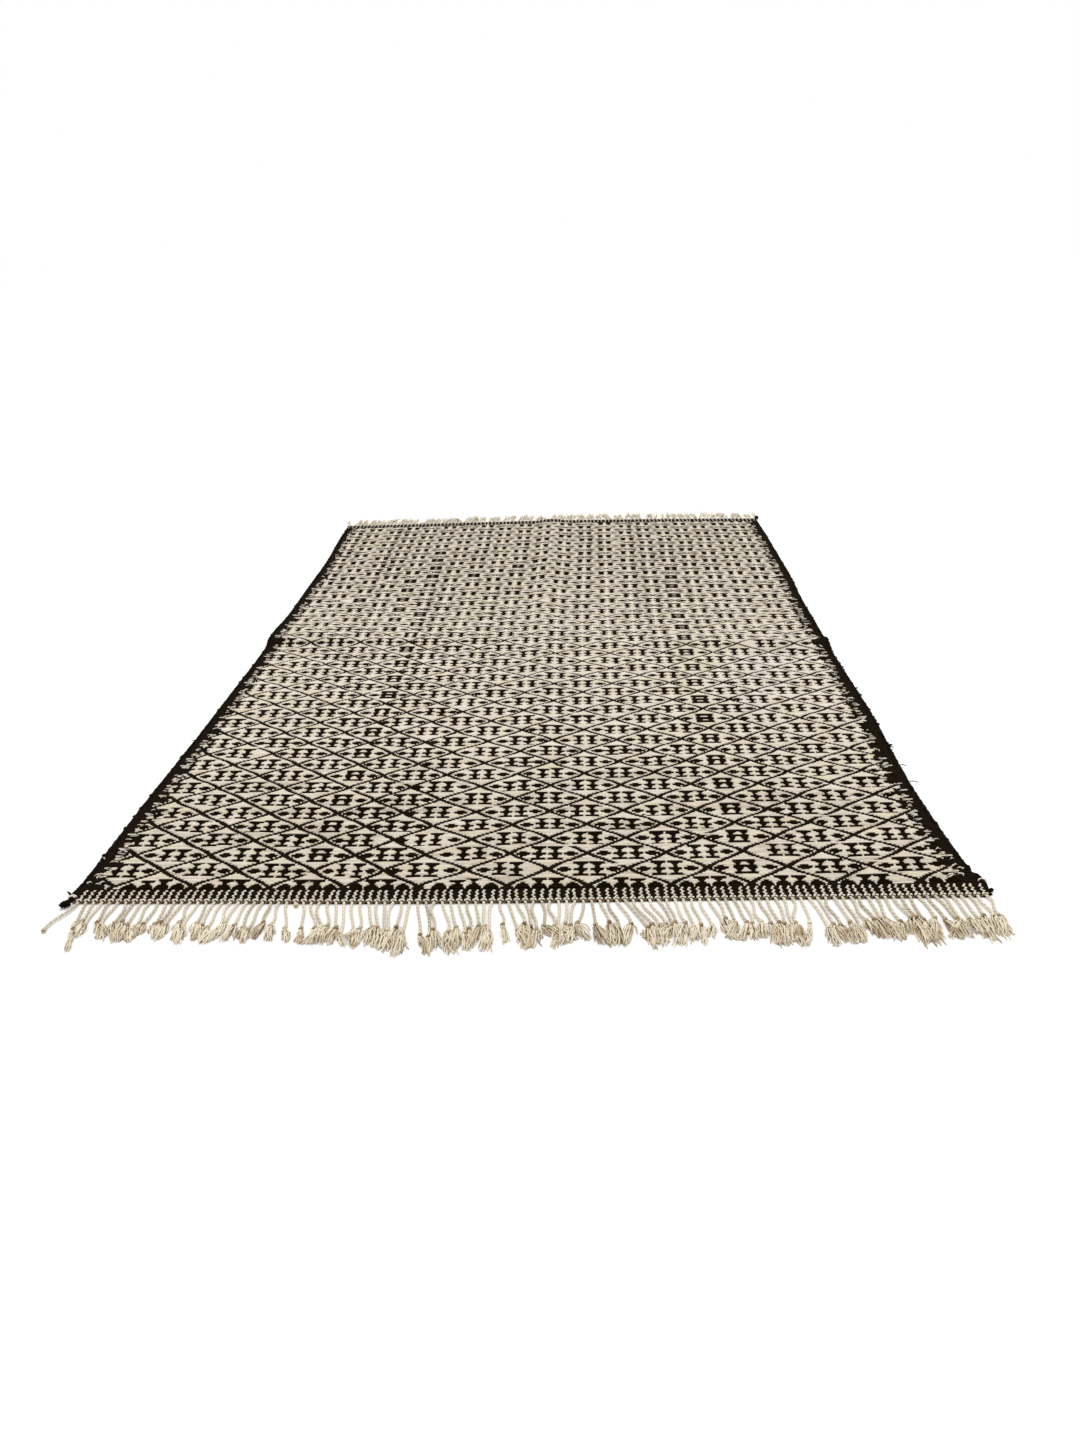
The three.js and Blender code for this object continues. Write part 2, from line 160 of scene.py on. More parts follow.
SOCKETS = dict(roughness="Roughness", specular="Specular IOR Level")
MATT = dict(roughness=0.95, specular=0.02)


class Finish:
    """A material in the making."""

    def __init__(self, name, **uniform):
        self.material = bpy.data.materials.new(name)
        self.material.use_nodes = True
        self.tree = self.material.node_tree
        self.shader = self.tree.nodes["Principled BSDF"]
        for socket, value in uniform.items():
            self.shader.inputs[SOCKETS[socket]].default_value = value

    def node(self, kind, settings, sockets, out=0):
        """Any node: its settings first, then the values or links of its sockets."""
        made = self.tree.nodes.new("ShaderNode" + kind)
        for name, value in settings.items():
            if name == "stops":
                self.stops(made.color_ramp, value)
            else:
                setattr(made, name, value)
        for name, value in sockets.items():
            if isinstance(value, Level):
                self.tree.links.new(value.socket, made.inputs[name])
            else:
                made.inputs[name].default_value = value
        return Level(self, made.outputs[out])

    @staticmethod
    def stops(ramp, stops):
        while len(ramp.elements) < len(stops):
            ramp.elements.new(0.5)
        for element, (place, colour) in zip(ramp.elements, stops):
            element.position = place
            element.color = (*colour, 1)

    def place(self):
        return self.node("TexCoord", {}, {}, "Object")

    def stretched(self, scale):
        """Places on the rug scaled by x, y, z, per metre."""
        return self.node("VectorMath", dict(operation="MULTIPLY"),
                         {0: self.place(), 1: scale})

    def noise(self, scale, detail=2.0, roughness=0.5):
        return self.node("TexNoise", {}, {"Vector": self.stretched(scale), "Scale": 1.0,
                                          "Detail": detail, "Roughness": roughness}, "Fac")

    def ramp(self, level, *stops):
        return self.node("ValToRGB", dict(stops=stops), {"Fac": level}, "Color")

    def blend(self, share, first, second):
        """From the first colour, a level, towards the second, a fixed one."""
        return self.node("Mix", dict(data_type="RGBA"),
                         {0: share, 6: first, 7: (*second, 1)}, 2)

    def set(self, socket, level):
        self.tree.links.new(level.socket, self.shader.inputs[socket])

    def relief(self, height, depth):
        """Fine relief, depth in millimetres."""
        self.set("Normal", self.node("Bump", {}, {"Height": height, "Distance": depth * MM,
                                                  "Strength": 1.0}))


STREAKS = (60, 420, 200)                # long along the weft
CLOUDS = (5, 7, 5)
TONE_PART, STREAK_PART, CLOUD_PART, DARKER = 0.5, 0.34, 0.3, 0.07
FIBRE_DEPTH = 0.9
RIBS = 63.0                             # one rib of the ground every 5 mm
RIB_DEPTH = 1.2


def wool(name, dark, plain, light, twist, stains=()):
    """Matt yarn whose tone drifts from yarn to yarn and along each one, with soft stains."""
    yarn = Finish(name, **MATT)
    tone = yarn.node("Attribute", dict(attribute_name="tone"), {}, "Fac")
    streaks = yarn.noise(STREAKS, 3.0, 0.6)
    clouds = yarn.noise(CLOUDS, 2.0, 0.5)
    level = tone * TONE_PART + streaks * STREAK_PART + clouds * CLOUD_PART - DARKER
    colour = yarn.ramp(level, (0.15, dark), (0.5, plain), (0.85, light))
    for scale, low, high, most, stain in stains:
        patches = yarn.noise(scale, 2.0, 0.55)
        share = yarn.node("MapRange", {}, {"Value": patches, "From Min": low,
                                           "From Max": high, "To Max": most})
        colour = yarn.blend(share, colour, stain)
    yarn.set("Base Color", colour)
    yarn.relief(yarn.noise(twist, 3.0, 0.65), FIBRE_DEPTH)
    return yarn


# Stains: scale of the patches, where in the noise they start and end, strength, colour.
IVORY_STAINS = (((22, 40, 20), 0.60, 0.74, 0.55, (0.50, 0.40, 0.28)),
                ((13, 24, 10), 0.50, 0.64, 0.70, (0.65, 0.555, 0.415)),
                ((14, 30, 10), 0.51, 0.65, 0.55, (0.70, 0.655, 0.475)),
                ((17, 26, 10), 0.53, 0.67, 0.40, (0.72, 0.63, 0.58)),
                ((2.2, 1.1, 2), 0.58, 0.70, 0.14, (0.60, 0.56, 0.60)),
                ((3.1, 1.4, 2), 0.57, 0.70, 0.40, (0.66, 0.60, 0.44)))
ivory_wool = wool("ivory_wool", (0.38, 0.32, 0.245), (0.68, 0.612, 0.515), (0.80, 0.74, 0.64),
                  (250, 900, 500), IVORY_STAINS)
FRINGE_STAINS = (((30, 34, 20), 0.54, 0.70, 0.8, (0.46, 0.33, 0.19)),)
# The dark end of this ramp serves the painted shade of the tufts' lower yarns and of the knots,
# besides the yarn's own tone.
fringe_yarn = wool("fringe_yarn", (0.28, 0.185, 0.09), (0.73, 0.625, 0.45), (0.92, 0.85, 0.70),
                   (900, 300, 500), FRINGE_STAINS)
cord_yarn = wool("cord_yarn", (0.36, 0.29, 0.20), (0.67, 0.59, 0.465), (0.86, 0.79, 0.67),
                 (900, 300, 500))
black_wool = wool("black_wool", (0.005, 0.0027, 0.001), (0.011, 0.0066, 0.0028),
                  (0.025, 0.017, 0.010), (700, 700, 500))
brown_yarn = wool("brown_yarn", (0.05, 0.032, 0.018), (0.13, 0.088, 0.055), (0.30, 0.22, 0.15),
                  (700, 700, 500))


def ribbed_ground():
    """The black ground weave, its wefts packed into fine crosswise ribs."""
    ground = Finish("black_ground", **MATT)
    ribs = ground.node("TexWave", dict(bands_direction="Y", wave_profile="SIN"), {
        "Vector": ground.stretched((1, 1, 1)), "Scale": RIBS, "Distortion": 1.2,
        "Detail": 2.0, "Detail Scale": 1.5}, "Fac")
    lint = ground.noise((500, 900, 500), 3.0, 0.7)
    # The colour follows the ribs, darker in their hollows: painted shade. The lint's tone is
    # the yarn's own.
    ground.set("Base Color", ground.ramp(
        ribs * 0.4 + lint * 0.6, (0.25, (0.004, 0.0024, 0.001)),
        (0.6, (0.010, 0.0063, 0.003)), (0.9, (0.026, 0.018, 0.012))))
    ground.relief(ribs * 0.8 + lint * 0.4, RIB_DEPTH)
    return ground


black_ground = ribbed_ground()


# ----- Yarns as meshes -----

UP = np.array([0.0, 0.0, 1.0])


def round_profile(sides):
    turn = 2 * np.pi * (np.arange(sides) + 0.5) / sides
    return np.stack([np.cos(turn), np.sin(turn)], 1)


FLAT_PROFILE = np.array([(1, -0.3), (0.7, 1), (-0.7, 1), (-1, -0.3)])
PEAKED_PROFILE = np.array([(1, -0.3), (0, 1), (-1, -0.3)])


def put(name, data):
    """An object of this name in the scene."""
    thing = bpy.data.objects.new(name, data)
    bpy.context.scene.collection.objects.link(thing)
    return thing


class Pile:
    """Many small yarns gathered into one mesh, each with its own tone."""

    def __init__(self):
        self.points = []
        self.faces = []
        self.tones = []
        self.count = 0

    def add(self, points, faces, tones):
        self.points.append(points)
        self.faces.extend((face + self.count).tolist() for face in faces)
        self.tones.append(tones)
        self.count += len(points)

    def yarns(self, line, wide, high, profile, tones, pointed=False):
        """Yarns with one number of stations. The line is yarn by station by xyz, and wide and
        high are half sizes. A pointed yarn runs out to a tip at both ends."""
        line = np.asarray(line, float)
        count, stations = line.shape[:2]
        sides = len(profile)
        wide = np.broadcast_to(wide, (count, stations))
        high = np.broadcast_to(high, (count, stations))
        ahead = np.gradient(line, axis=1)
        ahead /= np.linalg.norm(ahead, axis=2, keepdims=True) + 1e-9
        side = np.cross(ahead, UP)
        length = np.linalg.norm(side, axis=2, keepdims=True)
        side = np.where(length > 1e-3, side / np.maximum(length, 1e-9), [1.0, 0.0, 0.0])
        rise = np.cross(side, ahead)
        ring = (line[:, :, None]
                + side[:, :, None] * (wide[..., None] * profile[:, 0])[..., None]
                + rise[:, :, None] * (high[..., None] * profile[:, 1])[..., None])
        k = np.arange(sides)
        nxt = (k + 1) % sides
        if pointed:
            inner, offset = stations - 2, 1
            rings = ring[:, 1:-1].reshape(count, -1, 3)
            points = np.concatenate([line[:, :1], rings, line[:, -1:]], 1)
        else:
            inner, offset = stations, 0
            points = ring.reshape(count, -1, 3)
        each = points.shape[1]
        row = np.arange(inner - 1)[:, None] * sides
        quads = np.stack([row + k, row + nxt, row + sides + nxt, row + sides + k], -1)
        quads = quads.reshape(-1, 4) + offset
        faces = [quads]
        last = offset + (inner - 1) * sides
        if pointed:
            faces.append(np.stack([nxt + offset, k + offset, np.zeros_like(k)], 1))
            faces.append(np.stack([k + last, nxt + last, np.full_like(k, each - 1)], 1))
        else:
            faces.append(k[None, ::-1])
            faces.append(k[None] + last)
        base = np.arange(count)[:, None, None] * each
        many = [(part[None] + base).reshape(-1, part.shape[1]) for part in faces]
        tones = np.repeat(np.broadcast_to(tones, (count,)), each)
        self.add(points.reshape(-1, 3), [face for part in many for face in part], tones)

    def piece(self, name, finish):
        made = bpy.data.meshes.new(name)
        points = np.concatenate(self.points) * MM
        made.from_pydata(points.tolist(), [], self.faces)
        made.polygons.foreach_set("use_smooth", np.ones(len(made.polygons), bool))
        tone = made.attributes.new("tone", "FLOAT", "POINT")
        tone.data.foreach_set("value", np.concatenate(self.tones).astype(np.float32))
        made.materials.append(finish.material)
        made.update()
        return put(name, made)


def belongs(thing, node):
    """The piece lies with the rug, and stands for this solid."""
    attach(thing, "root")
    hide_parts(node)
    return thing


# ----- The black ground cloth with its selvages -----

SIDE_BLEND = (22, 40)           # from the selvage's thickness to the ground's
ROUNDING = (-2, 3)              # of the outer edge
EDGE_HEIGHT = 0.55              # share of the thickness that is left at the edge
RIM = np.array([0.0009, 0.0025, 0.006, 0.012, 0.02])
BAND_STEPS = [0.0015, 0.014, 0.0145, 0.9855, 0.986, 0.9985]


def first_row(x):
    return near_end(x) + EDGE_DEPTH + GAP


def last_row(x):
    return far_end(x) - EDGE_DEPTH - GAP


def ground_top(x, y):
    """Height of the black ground over the underside."""
    from_side = np.minimum(x - left_edge(y), right_edge(y) - x)
    from_end = np.minimum(y - first_row(x), last_row(x) - y)
    side = smooth(from_side, *SIDE_BLEND)
    inner = np.where(from_end < PLAIT_BAND, BAND_GROUND, GROUND)
    rounded = smooth(from_side, *ROUNDING)
    full = SELVAGE * (1 - side) + inner * side
    return full * (EDGE_HEIGHT + (1 - EDGE_HEIGHT) * rounded)


def ground_cloth():
    """One closed sheet, its stations closer together over the folds and along the rims."""
    shares = np.unique(np.r_[np.linspace(0, 1, 37), np.linspace(0.462, 0.55, 18), RIM, 1 - RIM])
    steps = np.unique(np.r_[np.linspace(0, 1, 61), np.linspace(0.42, 0.62, 71), BAND_STEPS])
    share, step = np.meshgrid(shares, steps, indexing="ij")
    guess = -HALF_WIDTH + 2 * HALF_WIDTH * share
    y = first_row(guess) + (last_row(guess) - first_row(guess)) * step
    left, right = left_edge(y), right_edge(y)
    x = left + (right - left) * share
    under = lift(x, y)
    top = under + ground_top(x, y)
    wide, long = x.shape
    upper = np.stack([x, y, top], -1).reshape(-1, 3)
    lower = np.stack([x, y, under], -1).reshape(-1, 3)
    a = (np.arange(wide - 1)[:, None] * long + np.arange(long - 1)).reshape(-1)
    quads = np.stack([a, a + long, a + long + 1, a + 1], 1)
    below = len(upper)
    rim = np.r_[np.arange(wide) * long, (wide - 1) * long + np.arange(1, long),
                np.arange(wide - 1)[::-1] * long + long - 1, np.arange(1, long - 1)[::-1]]
    after = np.roll(rim, -1)
    sides = np.stack([rim, rim + below, after + below, after], 1)
    heap = Pile()
    heap.add(np.concatenate([upper, lower]), [*quads, *(quads[:, ::-1] + below), *sides],
             np.full(2 * below, 0.5))
    return heap.piece("ground_cloth", black_ground)


# ----- The weave: which stretches of each weft row float in ivory -----

# Rows between the middles of two diamonds that stand one over the other.
REPEAT = 24
HALF_REPEAT = REPEAT // 2

# Where the diamond columns run, at four places along the rug.
COLUMNS = table("column near low middle far", *((column, *x) for column, x in enumerate((
    (-1003, -990, -990, -1005), (-922, -906, -905, -920), (-842, -824, -822, -836),
    (-762, -740, -740, -760), (-681, -658, -658, -672), (-603, -581, -582, -600),
    (-522, -502, -505, -520), (-445, -427, -425, -440), (-369, -360, -358, -358),
    (-297, -280, -279, -274), (-220, -204, -198, -195), (-126, -124, -122, -110),
    (-41, -40, -40, -28), (40, 40, 42, 65), (122, 120, 127, 148), (205, 205, 210, 232),
    (288, 285, 295, 320), (367, 370, 371, 397), (446, 443, 445, 477), (527, 522, 520, 556),
    (608, 600, 600, 638), (690, 690, 686, 720), (779, 775, 774, 804), (862, 858, 858, 884),
    (945, 942, 942, 968)), -12)))
COLUMN_PLACES = (-1346, -450, 250, 1150)

# Where the middle rows of the diamonds lie along the middle of the rug.
ROWS = table("row y", *((REPEAT * repeat, y) for repeat, y in enumerate((
    -1468, -1347, -1226, -1108, -986, -865, -743, -618, -494, -374, -258, -135, -22, 91, 201,
    311, 422, 530, 640, 750, 858, 962, 1066, 1166, 1268, 1369, 1470, 1570), -1)))

# How far the rows stray from square, near, in the middle and far.
BOW = table(
    "x near middle far",
    (-900, 9, 8, -42), (-680, 7, 7, -25), (-520, 2, 4, -15), (-350, 0, 0, -2), (0, 0, 0, 0),
    (320, 0, 0, 0), (450, 2, -6, -18), (620, 1, -12, -30), (800, 7, -27, -50),
    (900, 8, -34, -58))
BOW_ROWS = (0, 290, 540)

# The repeat, charted upwards from its middle row: half widths of the black parts
# of a paired figure and of the small lozenge at each side of it.
CHART = table(
    "step near middle far lozenge",
    (5, 14.5, 14.5, 12.5, 0), (4, 14, 14.5, 12, 0), (3, 6, 6.5, 8.5, 0), (2, 2.2, 3, 6.5, 0),
    (1, 3.5, 4, 7, 6), (0, 12, 12, 10, 14), (-1, 12.5, 12, 8.5, 12.5), (-2, 4.5, 4.5, 6, 5),
    (-3, 2.4, 3, 6, 0), (-4, 13, 8.5, 8, 0), (-5, 14.5, 10.5, 9, 0))
NEAR_FIGURE, FIGURE, FAR_FIGURE, LOZENGE = (
    {int(step): size for step, size in zip(CHART["step"], CHART[name])}
    for name in ("near", "middle", "far", "lozenge"))
FIGURE_OFFSET = 17.0                # of both figures of a pair, from the column
LOZENGE_OFFSET = 49.0               # of both lozenges, where two columns stand HALF_PITCH apart
HALF_PITCH = 80.0
CAP = 31.0                          # half width of a row that joins a pair at its far end
NEAR_LINE, MIDDLE_LINE, FAR_LINE = 14.0, 9.0, 12.0  # widths of the lines between diamonds
LINE_PAUSE = 0.22                   # how far the lines slow down where they cross

# In a few columns the two figures of a pair are joined into a bar. One letter for each
# pair from the near end on: l lined, s solid, g thinly filled, h hollow, - not joined.
BARS = {6: "llllllsslllgsshsssg", -5: "llllllhsllghls--lsgss", -6: "------------llssgs",
        -8: "---------------s", -3: "-----------------s", -1: "------------------s"}
BAR_STEPS = {"l": (5, 4, 1, 0, -4, -5), "s": (5, 4, 3, 1, 0, -1, -3, -4, -5),
             "g": (5, 4, 2, 0, -2, -4, -5), "h": (5, 4, -4), "-": ()}
BAR = 22.0                          # half width of a bar, and of its two sides below
BAR_SIDE_OFFSET = 14.0
BAR_SIDE = (3.0, 8.0)
FIRST_ROW, END_ROW = -13, 604
SPARE_ROWS = 20                     # before the first and past the last, for the random draws
# Half widths of the rounded figures that stand in the first rows of the near end.
BUMPS = {-13: 15.0, -12: 13.0, -11: 9.5, -10: 4.0}

# How often a line misses a row, a diamond has a stray black float, the figures of a pair
# are joined at their far end, and a lozenge is left out.
LINE_MISSED, STRAY_FLOAT, PAIR_CAPPED, LOZENGE_MISSED = 0.006, 0.004, 0.3, 0.015

# Where the ivory starts in from each selvage, how far it reaches over it in tongues, one
# for each half repeat, and the shortest float.
MARGINS = (41, 42)
TONGUE = 12
SHORTEST = 2.0

row_y = curve(ROWS, "row", "y")
bows = [curve(BOW, "x", name) for name in ("near", "middle", "far")]


def row_at(row, x):
    """Y of a weft row at a place across the rug."""
    near, middle, far = (bow(np.asarray(x, float)) for bow in bows)
    first, second, third = BOW_ROWS
    if row < second:
        share = np.clip((row - first) / (second - first), 0, 1)
        return row_y(row) + near + (middle - near) * share
    share = np.clip((row - second) / (third - second), 0, 1)
    return row_y(row) + middle + (far - middle) * share


def columns_at(y):
    """X of every diamond column at a place along the rug."""
    stations = [COLUMNS[name] for name in ("near", "low", "middle", "far")]
    return np.array([np.interp(y, COLUMN_PLACES, column) for column in zip(*stations)])


class Irregular:
    """The small ways in which one woven pair of figures differs from the next."""

    def __init__(self, draw):
        self.shift = draw.normal(0, 1.9)
        self.capped = draw.random() < PAIR_CAPPED
        self.no_lozenge = draw.random(2) < LOZENGE_MISSED
        self.size = 1 + draw.normal(0, 0.07)
        self.late = draw.choice([-1, 0, 0, 0, 0, 0, 1], 2)


def black_spans(row, irregular, draw):
    """Black stretches of one weft row: middle, half width, and whether they are raised."""
    y = float(row_y(row))
    columns = columns_at(y)
    numbers = COLUMNS["column"]
    far = float(smooth(y, 100, 800))
    near = 1 - float(smooth(y, -1000, -600))
    line_width = NEAR_LINE + (MIDDLE_LINE - NEAR_LINE) * float(smooth(y, -1300, 200))
    line_width += (FAR_LINE - MIDDLE_LINE) * float(smooth(y, 400, 1100))
    # Each line wavers by a millimetre or two in its own way.
    drift = 1.3 * np.sin(row * 0.31 + 2.1 * numbers) + np.sin(row * 0.73 + numbers)
    spans = []
    for place, column in enumerate(numbers[:-1].astype(int)):
        repeat, step = divmod(row - HALF_REPEAT * (column % 2) + HALF_REPEAT - 1, REPEAT)
        step -= HALF_REPEAT - 1
        middle = columns[place]
        ahead = columns[place + 1] - middle
        share = 1 - abs(step) / HALF_REPEAT
        share -= LINE_PAUSE * math.sin(2 * math.pi * share) / (2 * math.pi)
        line = middle + ahead * share + drift[place]
        if draw.random() > LINE_MISSED:
            spans.append((line + draw.normal(0, 0.5), line_width / 2 + draw.normal(0, 0.6),
                          False))
        if draw.random() < STRAY_FLOAT:
            spans.append((middle + draw.uniform(-60, 60), draw.uniform(1.5, 4), True))
        if step not in FIGURE:
            continue
        odd = irregular[column, repeat]
        middle += odd.shift
        lozenge = LOZENGE[step] * odd.size
        bars = BARS.get(column, "")
        kind = bars[repeat] if 0 <= repeat < len(bars) else "-"
        if step in BAR_STEPS[kind]:
            spans.append((middle, BAR + draw.normal(0, 0.8), True))
        elif odd.capped and step == 5 and kind == "-":
            spans.append((middle, CAP, True))
        else:
            for sign, late in zip((-1, 1), odd.late):
                part = step if row in BUMPS or kind != "-" else step + late
                if part not in FIGURE:
                    continue
                figure = FIGURE[part] * (1 - far) + FAR_FIGURE[part] * far
                figure = (figure * (1 - near) + NEAR_FIGURE[part] * near) * odd.size
                offset = FIGURE_OFFSET
                if row in BUMPS:
                    figure = lozenge = BUMPS[row]
                elif kind != "-":
                    figure, offset = np.clip(figure, *BAR_SIDE), BAR_SIDE_OFFSET
                spans.append((middle + sign * offset + draw.normal(0, 0.7),
                              figure + draw.normal(0, 0.6), True))
        for sign, missing in zip((-1, 1), odd.no_lozenge):
            if lozenge and not missing:
                spans.append((middle + sign * LOZENGE_OFFSET * abs(ahead) / HALF_PITCH,
                              lozenge + draw.normal(0, 0.7), True))
    return sorted(spans)


def weave_rows():
    """Every ivory float, and every black one of the figures, as row, from x, to x."""
    draw = random_from(11)
    irregular = {(column, repeat): Irregular(draw)
                 for column in COLUMNS["column"].astype(int) for repeat in range(-2, 28)}
    side_row = np.arange(-SPARE_ROWS, END_ROW + SPARE_ROWS)
    wander = np.cumsum(draw.normal(0, 0.5, (2, len(side_row))), axis=1)
    tongues = TONGUE * np.sin(side_row * 2 * np.pi / HALF_REPEAT + np.sin(wander))
    ragged = tongues + draw.normal(0, 4.0, wander.shape)
    ivory, black = [], []
    for row in range(FIRST_ROW, END_ROW):
        y = float(row_y(row))
        low = float(left_edge(y)) + MARGINS[0] + ragged[0, row + SPARE_ROWS]
        high = float(right_edge(y)) - MARGINS[1] - ragged[1, row + SPARE_ROWS]
        cursor = low
        for middle, half, raised in black_spans(row, irregular, draw):
            start, stop = middle - half, middle + half
            if start > high:
                break
            if raised and start > low:
                black.append((row, start - 0.8, stop + 0.8))
            if start > cursor + SHORTEST:
                ivory.append((row, cursor, start))
            cursor = max(cursor, stop)
        if high > cursor + SHORTEST:
            ivory.append((row, cursor, high))
    return np.array(ivory), np.array(black)


# The three parts that the floats are made in, and how far each one goes along the rug.
FLOAT_PARTS = (("near", -1600, -560), ("middle", -560, 420), ("far", 420, 1600))
# The first floats start this far inside the plait band, and the last end as far short of it.
BAND_CLEAR = 3


def ivory_rings(place, length):
    """Rings of the ivory floats, fewer where they lie further off."""
    if place == "near":
        return np.select([length < 20, length < 45], [2, 3], 4)
    if place == "middle":
        return np.select([length < 32, length < 60], [2, 3], 4)
    return np.where(length < 56, 2, 3)


def black_rings(place, length):
    return np.full(length.shape, 2)


def floats(name, cells, relief, tip, ends, profile, rings, finish, seed):
    """Raised floats in their rows. Each is full in its middle, and tapers over its tips to
    the share of its height given by ends."""
    draw = random_from(seed)
    rows, start, stop = cells.T
    middle = (start + stop) / 2
    y = np.array([float(row_at(row, x)) for row, x in zip(rows, middle)])
    inside = y > near_end(middle) + EDGE_DEPTH + PLAIT_BAND - BAND_CLEAR
    inside &= y < far_end(middle) - EDGE_DEPTH - PLAIT_BAND - BAND_CLEAR
    rows, start, stop, y = rows[inside], start[inside], stop[inside], y[inside]
    pitch = row_y(rows + 0.5) - row_y(rows - 0.5)
    length = stop - start
    row_tone = draw.normal(0, 0.09, END_ROW + 3 * SPARE_ROWS)[rows.astype(int) + SPARE_ROWS]
    # Painted light: the floats' tone is painted darkest at the near end and lightest in the
    # middle, standing in for uneven light along the rug.
    painted_light_along = 0.36 + 0.38 * smooth(y, -1300, -300) - 0.24 * smooth(y, 200, 900)
    spread = 0.13 + 0.07 * smooth(y, -1300, -300)
    tones = np.clip(painted_light_along + row_tone + draw.normal(0, spread), 0, 1)
    plump = np.clip(draw.normal(0.53 - 0.022 * smooth(y, 200, 900), 0.03), 0.43, 0.57)
    made = []
    for place, from_y, to_y in FLOAT_PARTS:
        there = (y >= from_y) & (y < to_y)
        ring_counts = rings(place, length)
        heap = Pile()
        for count in np.unique(ring_counts):
            pick = there & (ring_counts == count)
            a, b = start[pick][:, None], stop[pick][:, None]
            taper = np.minimum(tip, (b - a) * 0.3)
            full_part = a + taper + (b - a - 2 * taper) * np.linspace(0, 1, count)
            x = np.concatenate([a, full_part, b], 1)
            line_y = np.array([row_at(row, xs) for row, xs in zip(rows[pick], x)])
            line_y += draw.normal(0, 0.28, x.shape)
            inward = np.minimum(x - a, b - x)
            full = ends + (1 - ends) * smooth(inward, 2, 15) + draw.normal(0, 0.05, x.shape)
            z = lift(x, line_y) + ground_top(x, line_y) - 0.25 * (inward < 0.01)
            wide = (pitch * plump)[pick][:, None] * (0.86 + 0.14 * smooth(inward, 1, 8))
            heap.yarns(np.stack([x, line_y, z], -1), wide, relief * full, profile, tones[pick],
                       pointed=True)
        made.append(heap.piece(name + "_" + place, finish))
    return made


# ----- Edges -----

TURN_PITCH = 7.6
LOOPED = 0.06
CORNER_FLARE = 4.0
# Section of one turn: how far out of the edge, and how high.
ROUND_THE_EDGE = ((-9, SELVAGE + 0.2), (-3, SELVAGE + 0.5), (0.6, 2.3), (-2.4, 0.9), (-7, 0.8))


def side_turns(name, edge, outward):
    """Black wefts turning round one selvage. A few stand out as loops, and all of them
    stand further out towards the near corner."""
    draw = random_from(31 if outward > 0 else 32)
    turns = np.arange(-1448, 1470, TURN_PITCH)
    y = turns + draw.normal(0, 0.5, len(turns))
    x = edge(y) + draw.normal(0, 0.7, len(y))
    x += outward * draw.uniform(2, 4.5, len(y)) * (draw.random(len(y)) < LOOPED)
    x += outward * CORNER_FLARE * smooth(-y, 1370, 1425)
    under = lift(x - outward * 6, y)
    lean = draw.normal(0, 0.9, len(y))
    line = np.array([[(x[i] + outward * dx, y[i] + lean[i] * (dx + 9) / 9, under[i] + dz)
                      for dx, dz in ROUND_THE_EDGE] for i in range(len(y))])
    heap = Pile()
    heap.yarns(line, 3.6, 0.8, round_profile(4), draw.random(len(y)))
    return heap.piece(name, black_wool)


# Single ivory yarns laid over the near corners, left and right.
CORNER_LOOPS = {
    -1: [[(-900, -1438), (-905, -1434), (-911, -1432), (-917, -1434), (-921, -1438)],
         [(-902, -1441), (-907, -1437), (-912, -1435), (-917, -1437), (-920, -1440)],
         [(-866, -1358), (-876, -1356), (-885, -1355), (-893, -1356), (-900, -1360)],
         [(-880, -1360), (-886, -1362), (-889, -1367), (-886, -1373)],
         [(-891, -1385), (-896, -1384), (-901, -1387), (-897, -1391)],
         [(-866, -1379), (-870, -1383), (-874, -1388), (-870, -1393)],
         [(-872, -1304), (-880, -1306), (-887, -1309)],
         [(-899, -1297), (-904, -1292), (-908, -1290)],
         [(-848, -1396), (-853, -1401), (-855, -1408), (-851, -1413)]],
    1: [[(889, -1409), (893, -1403), (899, -1401), (905, -1405), (907, -1412)],
        [(834, -1388), (841, -1384), (848, -1382), (855, -1386)],
        [(832, -1395), (840, -1392), (846, -1388), (850, -1380)],
        [(856, -1383), (863, -1381), (869, -1384), (866, -1391)],
        [(862, -1360), (869, -1359), (876, -1363), (870, -1367)],
        [(852, -1358), (858, -1352), (865, -1347), (870, -1346)],
        [(859, -1329), (865, -1323), (871, -1326)],
        [(840, -1292), (848, -1285), (857, -1288)]]}

LOOSE_ENDS = 190
HOOKED = 0.35                           # share of them that turn back
LOOSE_END = np.array([0.6, 1, 1, 1, 1, 1, 0.9, 0.7, 0.4])


def loose_ends(name, edge, outward, seed):
    """Ends and loops of the ivory floats, straying over the black selvage."""
    draw = random_from(seed)
    heap = Pile()
    along = np.linspace(0, 1, 9)
    for place in np.sort(draw.uniform(-1395, 1420, LOOSE_ENDS)):
        long = draw.uniform(8, 19)
        start = edge(place) - outward * draw.uniform(35, 47)
        if draw.random() < HOOKED:
            turn = np.pi * 1.15 * along
            wide = draw.uniform(3, 5.5) * draw.choice([-1, 1])
            x = start + outward * long * np.sin(turn * 0.95)
            line_y = place + wide * (1 - np.cos(turn)) / 2 + draw.normal(0, 1.2)
        else:
            x = start + outward * long * along
            line_y = (place + draw.normal(0, 3.0) * along
                      + draw.normal(0, 1.6) * np.sin(along * 6))
        z = (lift(x, line_y) + SELVAGE + 1.0
             + draw.uniform(0.5, 2.6) * np.sin(np.pi * along))
        thick = draw.uniform(0.8, 1.35) * LOOSE_END
        heap.yarns(np.stack([x, line_y, z], 1)[None], thick, thick * 0.8, round_profile(4),
                   np.clip(0.75 + draw.normal(0, 0.15), 0, 1), pointed=True)
    for loop in CORNER_LOOPS[outward]:
        x, line_y = np.array(loop, float).T
        z = SELVAGE + 1.0 + 3.0 * np.sin(np.pi * np.linspace(0, 1, len(x)))
        heap.yarns(np.stack([x, line_y, z], 1)[None], 1.8, 1.5, round_profile(5), 0.7,
                   pointed=True)
    return heap.piece(name, ivory_wool)


STRAYS = table(
    "x y toX toY",
    (876, -905, 890, -910), (872, -990, 896, -993), (875, -806, 887, -812),
    (-890, -720, -903, -714))

